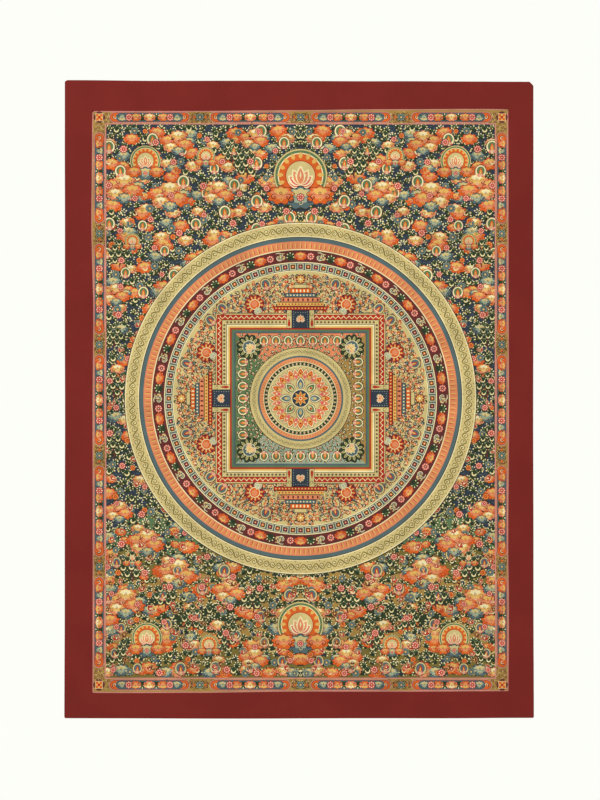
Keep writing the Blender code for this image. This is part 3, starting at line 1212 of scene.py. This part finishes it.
lay(
    [
        ("ochre", 16, margin(19, 20, 20)),
        ("ochre", 25, margin(14.5, 14, 14.5)),
        ("old_rose", 27, bar(LEFT - LINE, BOTTOM - LINE, LEFT, TOP + LINE)),
        ("old_rose", 27, bar(RIGHT, BOTTOM - LINE, RIGHT + LINE, TOP + LINE)),
        ("old_rose", 27, bar(LEFT, TOP, RIGHT, TOP + LINE)),
        ("old_rose", 27, bar(LEFT, BOTTOM - LINE, RIGHT, BOTTOM)),
    ]
)

for rows, low, high, upright, inward in (
    (WINDOW_TOP, -256, 258, False, -1),
    (WINDOW_BOTTOM, -256, 258, False, 1),
    (WINDOW_LEFT, -751, -33, True, 1),
    (WINDOW_RIGHT, -751, -33, True, -1),
):
    along = np.arange(low, high, 6.0)
    edge = eased(rows, along)
    outer, inner = (np.column_stack((along, edge + a * inward)) for a in (-2, LINE))
    if upright:
        outer, inner = outer[:, ::-1], inner[:, ::-1]
    strip = zip(outer, outer[1:], inner[1:], inner)
    lay([("old_rose", 17, [np.array(corners) for corners in strip])])


def stadium(length, height, steps=7):
    angle = np.linspace(0, math.pi, steps)
    end = np.column_stack((np.sin(angle), np.cos(angle))) * height / 2
    end += (length / 2 - height / 2, 0)
    return np.concatenate((end, -end))


def cartouche(length, height=13.4):
    parts = [
        ("old_rose", 27, pieces_of(stadium(length, height))),
        ("maroon_lake", 28, pieces_of(stadium(length - 1.8, height - 1.8))),
        ("red_lead", 29, pieces_of(stadium(length - 3.0, height - 3.0))),
        ("azurite", 30, pieces_of(stadium(length - 16, height - 3.0))),
    ]
    reach = (height - 3.0) / 2
    puff = reach * 1.36
    fillings = (
        moved(cloud(*PALE[:3], "cinnabar", puff), lift=27),
        moved(spray(reach=reach), lift=29),
        moved(cloud(*DEEP, puff), lift=26),
        moved(peony(radius=reach), lift=23),
        moved(cloud(*COOL, puff), turn=180, lift=25),
        moved(cloud(*WARM, puff), lift=26),
        moved(spray("maroon_lake", "chalk", "cinnabar", 5, reach), lift=29),
    )
    pitch = 8.4
    count = int((length - 16) / 2 / pitch)
    for step in range(count + 1):
        for side in (-1, 1) if step else (1,):
            parts += moved(fillings[step % len(fillings)], x=side * step * pitch, flip=side)
    ends = (length / 2 - 7.5, 0)
    parts.append(("maroon_lake", 38, curls(3.6, 1.5, 0.6, ends, 30)))
    parts.append(("chalk", 39, curls(2.6, 0.7, 0.9, ends, 30)))
    return parts


diagonals, cross = (45, 135, 225, 315), (0, 90, 180, 270)
buds = ((-9.0, 90), (9.0, -90))
parting = [
    ("maroon_lake", 27, curls(3.4, 1.0, 1.2, (-8.4, 2.6))),
    ("maroon_lake", 27, curls(3.4, 1.0, 1.2, (8.4, -2.6), 180)),
    ("forest", 28, petals(diagonals, 7.4, 4.2, steps=4)),
    ("chalk", 29, petals(diagonals, 4.6, 1.2, start=1.4, steps=3)),
    *moved(rosette(radius=4.9), lift=21),
    ("red_lead", 30, [petal(3.4, 2.6, (x, 0), turn, 0.2, steps=4) for x, turn in buds]),
]
corner_flower = [
    ("maroon_lake", 27, [blob(7.2, 4, 0.14, 24)]),
    ("chalk", 28, petals(diagonals, 6.8, 4.6, steps=5)),
    ("red_lead", 29, petals(diagonals, 6.2, 3.8, steps=5)),
    ("orpiment", 30, petals(cross, 5.4, 2.0, steps=4)),
    ("cinnabar", 31, [blob(1.8, 4, 0.2, 12)]),
]
band_ground = ground_of(
    lambda x, z: (x > MIDDLE_X)
    & ((x > RIGHT + 2) | (z > TOP + 2) | (z < BOTTOM - 2))
    & (x < RIGHT + 11.5)
    & (z < TOP + 11.5)
    & (z > BOTTOM - 11.5),
    3.0,
    15.0,
)
scrollwork = [
    ("maroon_lake", 26, curl(2.2, 0.75, 1, 1.2, steps=8)),
    ("straw", 26, curl(1.5, 0.6, -1, 0.9, (1.9, 1.2), 120, 6)),
]
strew(scrollwork, band_ground, 3.9, 71, (-180, 180))
cleared(band_ground)
# The middle line of the frame on each side, and how far apart its cartouches stand
FRAME_LEFT, FRAME_RIGHT = -244.7, 248.3
UPRIGHT_PITCH, LEVEL_PITCH = 136.0, 123.25
for x, turn in ((FRAME_LEFT, -90), (FRAME_RIGHT, 90)):
    step = (0, UPRIGHT_PITCH)
    row_of(cartouche(112.0), 5, (x, MIDDLE_Z - 2 - 2 * UPRIGHT_PITCH), step, turn)
    row_of(parting, 4, (x, MIDDLE_Z - 2 - 1.5 * UPRIGHT_PITCH), step, 90)
for z, turn in ((-44.6, 0), (-739.2, 180)):
    step = (LEVEL_PITCH, 0)
    row_of(cartouche(99.0), 4, (FRAME_LEFT + 61.6, z), step, turn)
    row_of(parting, 3, (FRAME_LEFT + LEVEL_PITCH, z), step)
    row_of(corner_flower, 2, (FRAME_LEFT, z), (4 * LEVEL_PITCH, 0))


# The films of paint, each gathered from every stroke of its colour and laid on the canvas.
def film_mesh(name, parts):
    """One mesh of all these parts, with every face turned to the front and its place as its UV."""
    points = np.concatenate([p for p, _, _ in parts])
    starts = np.cumsum([0] + [len(p) for p, _, _ in parts[:-1]])
    corners = np.concatenate([c + s for (_, c, _), s in zip(parts, starts)])
    sizes = np.concatenate([n for _, _, n in parts])
    first = np.concatenate(([0], np.cumsum(sizes)[:-1]))
    points[:, 1] += CANVAS_FRONT - FIRST_COAT + hang_depth(points[:, 2])
    owner = np.repeat(np.arange(len(sizes)), sizes)
    place = np.arange(len(corners)) - first[owner]
    following = corners[first[owner] + (place + 1) % sizes[owner]]
    x, z = points[:, 0], points[:, 2]
    turning = np.add.reduceat(x[corners] * z[following] - x[following] * z[corners], first)
    backwards = (turning < 0)[owner]
    order = np.where(backwards, first[owner] + sizes[owner] - 1 - place, first[owner] + place)
    corners = corners[order]
    mesh = new_mesh(name, points, corners, first)
    low = np.array((CANVAS_LEFT, CANVAS_BOTTOM))
    spots = (points[corners][:, (0, 2)] - low) / ((CANVAS_RIGHT, CANVAS_TOP) - low)
    mesh.uv_layers.new(name="OFBake").data.foreach_set("uv", spots.ravel())
    return mesh


for name, parts in films.items():
    mesh = film_mesh(f"paint_{name}", parts)
    mesh.materials.append(paint_finish[name])
    piece_of(mesh)


# The border: four strips of maroon cotton, sewn over the canvas's edge with blind stitches and
# turned to the back in a 12 mm hem. The upper and lower ones run the full width, the others stand
# between them.
HALF_WIDTH = 287.0 * MM
CLOTH = 1.0 * MM
HEM_GAP = 0.5 * MM
HEM_WIDTH = 12.0 * MM
BORDER_FRONT = -1.25 * MM
RIPPLE = 0.8 * MM
RIPPLE_LENGTH = 240.0 * MM
PUCKER = 0.05 * MM  # of the seam along the canvas
LEVEL_FADE, UPRIGHT_FADE = 70.0 * MM, 50.0 * MM  # how far from a strip's ends both fade out
BUTTED_FROM = 251.0 * MM  # where a full-width strip meets the side strips
LEAN = 20.0 * MM  # how far from its ends a side strip leans to meet the seams
TUCK = 0.1 * MM  # how far a side strip's ends go into the seams above and below it
TOP_EDGE = ((-287, 1.0), (-160, 0.2), (0, 0.0), (110, -0.3), (210, -0.8), (287, -1.0))
BOTTOM_EDGE = ((-287, -779.9), (-135, -780.4), (10, -780.2), (160, -779.9), (287, -779.5))
# A blunt corner's reach across and down in millimetres, and how round it is
TOP_LEFT, TOP_RIGHT = (3.3, 2.5, 0.6), (4.8, 5.3, 0.2)
BOTTOM_LEFT, BOTTOM_RIGHT = (2.2, 2.2, 1.0), (1.6, 1.6, 1.0)

maroon = cloth_finish(
    "maroon cotton", *shaded((119, 35, 29), 0.92, 1.08), 0.7 * MM, 0.12 * MM, 0.9, 0.0, 0.06
)


def soft(share):
    """A share held between 0 and 1, and eased at both ends."""
    share = min(max(share, 0.0), 1.0)
    return share**2 * (3 - 2 * share)


def spots_between(start, end, step):
    return np.linspace(start, end, max(math.ceil((end - start) / step), 1) + 1)


def hem_section(width):
    """A strip's section: its front layer, the fold, the hem behind and back again inside."""
    middle = CLOTH + HEM_GAP / 2
    turn, hem_end = width - middle, width - HEM_WIDTH
    angle = np.linspace(-math.pi / 2, math.pi / 2, 9)
    wide, deep = np.cos(angle), np.sin(angle)
    nose = [(0.0, 0.5 * CLOTH), (0.06 * CLOTH, 0.2 * CLOTH), (0.25 * CLOTH, 0.05 * CLOTH)]
    front = [(a, 0.0) for a in np.linspace(0.6 * CLOTH, turn, 10)[:-1]]
    outer = [(turn + middle * w, middle + middle * d) for w, d in zip(wide, deep)]
    hem = [(a, 2 * middle) for a in np.linspace(hem_end + 0.3 * CLOTH, turn, 5)[-2::-1]]
    hem_nose = [(hem_end, 2 * middle - 0.3 * CLOTH), (hem_end, middle + HEM_GAP / 2)]
    hem_inside = [(a, middle + HEM_GAP / 2) for a in np.linspace(hem_end, turn, 5)[1:-1]]
    inner = [(turn + HEM_GAP / 2 * w, middle + HEM_GAP / 2 * d) for w, d in zip(wide, deep)][::-1]
    behind = [(a, CLOTH) for a in np.linspace(0.0, turn, 10)[-2::-1]]
    return [*nose, *front, *outer, *hem, *hem_nose, *hem_inside, *inner, *behind]


def cloth_depth(share, from_seam, along, z, seam_end):
    """How far back the strip lies, with the ripple of its free edge and the puckers of its seam.

    seam_end fades both out, from 1 to 0, towards a butted end.
    """
    ripple = RIPPLE * share**2 * math.sin(2 * math.pi * along / RIPPLE_LENGTH) * seam_end
    uneven = math.sin(along / (2.1 * MM)) + 0.6 * math.sin(along / (3.7 * MM) + 1)
    near_seam = math.exp(-from_seam / (3 * MM)) * min(from_seam / (1.5 * MM), 1)
    return BORDER_FRONT + hang_depth(z) + ripple - PUCKER * uneven * near_seam * seam_end


def strip_points(places, edges, fade, full_width):
    """The strip's sections. edges(place) gives its inner and outer point in the plane of the sheet.

    A full-width strip's seam edge is round along the canvas and square where a side strip meets it.
    """
    sections = []
    for place in places:
        inner, outer = edges(place)
        from_end = min(place - places[0], places[-1] - place)
        seam_end = soft(from_end / fade)
        width = math.dist(inner, outer)
        section = []
        butted = min(max((abs(place) - BUTTED_FROM) / (3 * MM), 0), 0.98) if full_width else 0
        for across, depth in hem_section(width):
            share = across / width
            depth *= 1 - butted if share < 0.02 and depth < CLOTH else 1
            x, z = (a + (b - a) * share for a, b in zip(inner, outer))
            section.append((x, depth + cloth_depth(share, across, place, z, seam_end), z))
        sections.append(section)
    return np.array(sections)


def with_rounded_ends(sections):
    """Closes a full-width strip's two ends with the same round fold as its hem."""
    middle = CLOTH + HEM_GAP / 2
    flat_end = np.mean(sections[:, :, 0], axis=1)
    from_end = HALF_WIDTH - np.abs(flat_end)
    share = np.clip(1 - from_end / middle, 0, 1)
    thin = np.sqrt(np.maximum(1 - share**2, 0.05))[:, None]
    rest = np.array([[cloth_depth(0.0, 1.0, x, z, 0.0) for x, _, z in row] for row in sections])
    depth = sections[:, :, 1] - rest
    sections[:, :, 1] = rest + np.where(share[:, None] > 0, middle + (depth - middle) * thin, depth)
    return sections


def strip_piece(name, node, sections):
    count, around = sections.shape[:2]
    index = np.arange(count * around).reshape(count, around)
    after = np.roll(index, -1, axis=1)
    faces = np.stack((index[:-1], after[:-1], after[1:], index[1:]), -1).reshape(-1, 4)
    mesh = bpy.data.meshes.new(name)
    ends = [index[0][::-1].tolist(), index[-1].tolist()]
    mesh.from_pydata(sections.reshape(-1, 3), [], faces.tolist() + ends)
    mesh.materials.append(maroon)
    shape = bmesh.new()
    shape.from_mesh(mesh)
    bmesh.ops.recalc_face_normals(shape, faces=shape.faces)
    shape.to_mesh(mesh)
    shape.free()
    mesh.polygons.foreach_set("use_smooth", [True] * (len(mesh.polygons) - 2) + [False] * 2)
    mesh.set_sharp_from_angle(angle=math.radians(50))
    piece = piece_of(mesh)
    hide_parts(node)


def corner_cut(corner, from_end):
    across, down, roundness = corner
    share = max(1 - from_end / (across * MM), 0.0)
    rounded = 1 - math.sqrt(max(1 - share * share, 0.0))
    return down * MM * (share + (rounded - share) * roundness)


def at_edge(rows, along):
    return float(eased(rows, along / MM)) * MM


for name, window, edge, left, right, inward in (
    ("border_top", WINDOW_TOP, TOP_EDGE, TOP_LEFT, TOP_RIGHT, -1),
    ("border_bottom", WINDOW_BOTTOM, BOTTOM_EDGE, BOTTOM_LEFT, BOTTOM_RIGHT, 1),
):
    fold = (CLOTH + HEM_GAP / 2) * (1 - np.sin(np.linspace(math.pi / 2, 0, 6)))
    ends = [
        np.concatenate((fold[:-1], np.linspace(fold[-1], corner[0] * MM, 3)))
        for corner in (left, right)
    ]
    middle = spots_between(-HALF_WIDTH + 8 * MM, HALF_WIDTH - 8 * MM, 4 * MM)
    places = np.concatenate((ends[0] - HALF_WIDTH, middle, HALF_WIDTH - ends[1][::-1]))

    def edges(x):
        cut = corner_cut(left, x + HALF_WIDTH) + corner_cut(right, HALF_WIDTH - x)
        return (x, at_edge(window, x)), (x, at_edge(edge, x) + inward * cut)

    height = abs(at_edge(window, 0) - at_edge(edge, 0))
    sections = with_rounded_ends(strip_points(places, edges, LEVEL_FADE, True))
    strip_piece(f"{name}_cloth", name, sections)

for name, window, side in (("border_left", WINDOW_LEFT, -1), ("border_right", WINDOW_RIGHT, 1)):
    outer_x = side * HALF_WIDTH
    high = at_edge(WINDOW_TOP, outer_x) + TUCK
    low = at_edge(WINDOW_BOTTOM, outer_x) - TUCK

    def edges(z):
        inner_x = at_edge(window, z)
        near_top = max(1 - (high - z) / LEAN, 0.0)
        near_foot = max(1 - (z - low) / LEAN, 0.0)
        lean = near_top * (at_edge(WINDOW_TOP, inner_x) - at_edge(WINDOW_TOP, outer_x))
        lean += near_foot * (at_edge(WINDOW_BOTTOM, inner_x) - at_edge(WINDOW_BOTTOM, outer_x))
        return (inner_x, z + lean), (outer_x, z)

    width = abs(outer_x - at_edge(window, (high + low) / 2))
    sections = strip_points(spots_between(low, high, 4 * MM), edges, UPRIGHT_FADE, False)
    strip_piece(f"{name}_cloth", name, sections)


# The hem's stitches, on the back only: short slanted ones in maroon thread, sunk a little in the
# cloth.
STITCH = 3.6 * MM
STITCH_PITCH = 6.0 * MM
THREAD = 0.28 * MM  # its radius
BULGE, SUNK = 0.3 * MM, 0.12 * MM

thread = cloth_finish("maroon thread", *shaded((104, 30, 28), 0.85, 1.15), 0.3 * MM, 0.05 * MM, 0.7)
rings = []
for share in np.linspace(0, 1, 7):
    fat = THREAD * math.sin(math.pi * (0.06 + 0.88 * share)) ** 0.4
    lift = BULGE * math.sin(math.pi * share) - SUNK
    spots = [(math.cos(a), math.sin(a)) for a in np.arange(6) * math.pi / 3]
    rings.append([((share - 0.5) * STITCH, lift + fat * s, fat * c) for c, s in spots])
points = np.array(rings).reshape(-1, 3)
sides = [
    [r * 6 + i, r * 6 + (i + 1) % 6, (r + 1) * 6 + (i + 1) % 6, (r + 1) * 6 + i]
    for r in range(6)
    for i in range(6)
]
hem_stitches = []
for first, last, upright, inner, outer, turn in (
    ((-278, -11.6), (278, -11.6), False, WINDOW_TOP, TOP_EDGE, 14),
    ((-278, -769.0), (278, -769.0), False, WINDOW_BOTTOM, BOTTOM_EDGE, -14),
    ((-276.4, -742), (-276.4, -42), True, WINDOW_LEFT, None, 104),
    ((276.4, -742), (276.4, -42), True, WINDOW_RIGHT, None, 76),
):
    mesh = bpy.data.meshes.new("hem stitch")
    mesh.from_pydata(points.tolist(), [], [*sides, [5, 4, 3, 2, 1, 0], [36, 37, 38, 39, 40, 41]])
    count = round(math.dist(first, last) * MM / STITCH_PITCH)
    given = {"Count": count, "First X": first[0] * MM, "First Z": first[1] * MM}
    given |= {f"Step {axis}": (b - a) * MM / count for axis, a, b in zip("XZ", first, last)}
    [row] = copies_of([(mesh, thread)], ROW, Turn=math.radians(turn), **given)
    for vertex in row.vertices:
        x, z = vertex.co.x, vertex.co.z
        along, across = (z, x) if upright else (x, z)
        inner_at = at_edge(inner, along)
        outer_at = math.copysign(HALF_WIDTH, x) if upright else at_edge(outer, along)
        share = (across - inner_at) / (outer_at - inner_at)
        if upright:
            fade = soft(min(-36 * MM - z, z + 747 * MM) / UPRIGHT_FADE)
        else:
            fade = soft((HALF_WIDTH - abs(x)) / LEVEL_FADE)
        back = 2 * CLOTH + HEM_GAP
        vertex.co.y += back + cloth_depth(share, 1.0, along, z, fade)
    hem_stitches.append(row)
joined = bmesh.new()
for row in hem_stitches:
    joined.from_mesh(row)
bmesh.ops.recalc_face_normals(joined, faces=joined.faces)
stitches = bpy.data.meshes.new("hem_stitches")
joined.to_mesh(stitches)
joined.free()
stitches.materials.clear()
stitches.materials.append(thread)
stitches.polygons.foreach_set("use_smooth", [True] * len(stitches.polygons))
piece_of(stitches)


[[list(map(float, c)) for c in box] for box in (cad_box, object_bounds())]
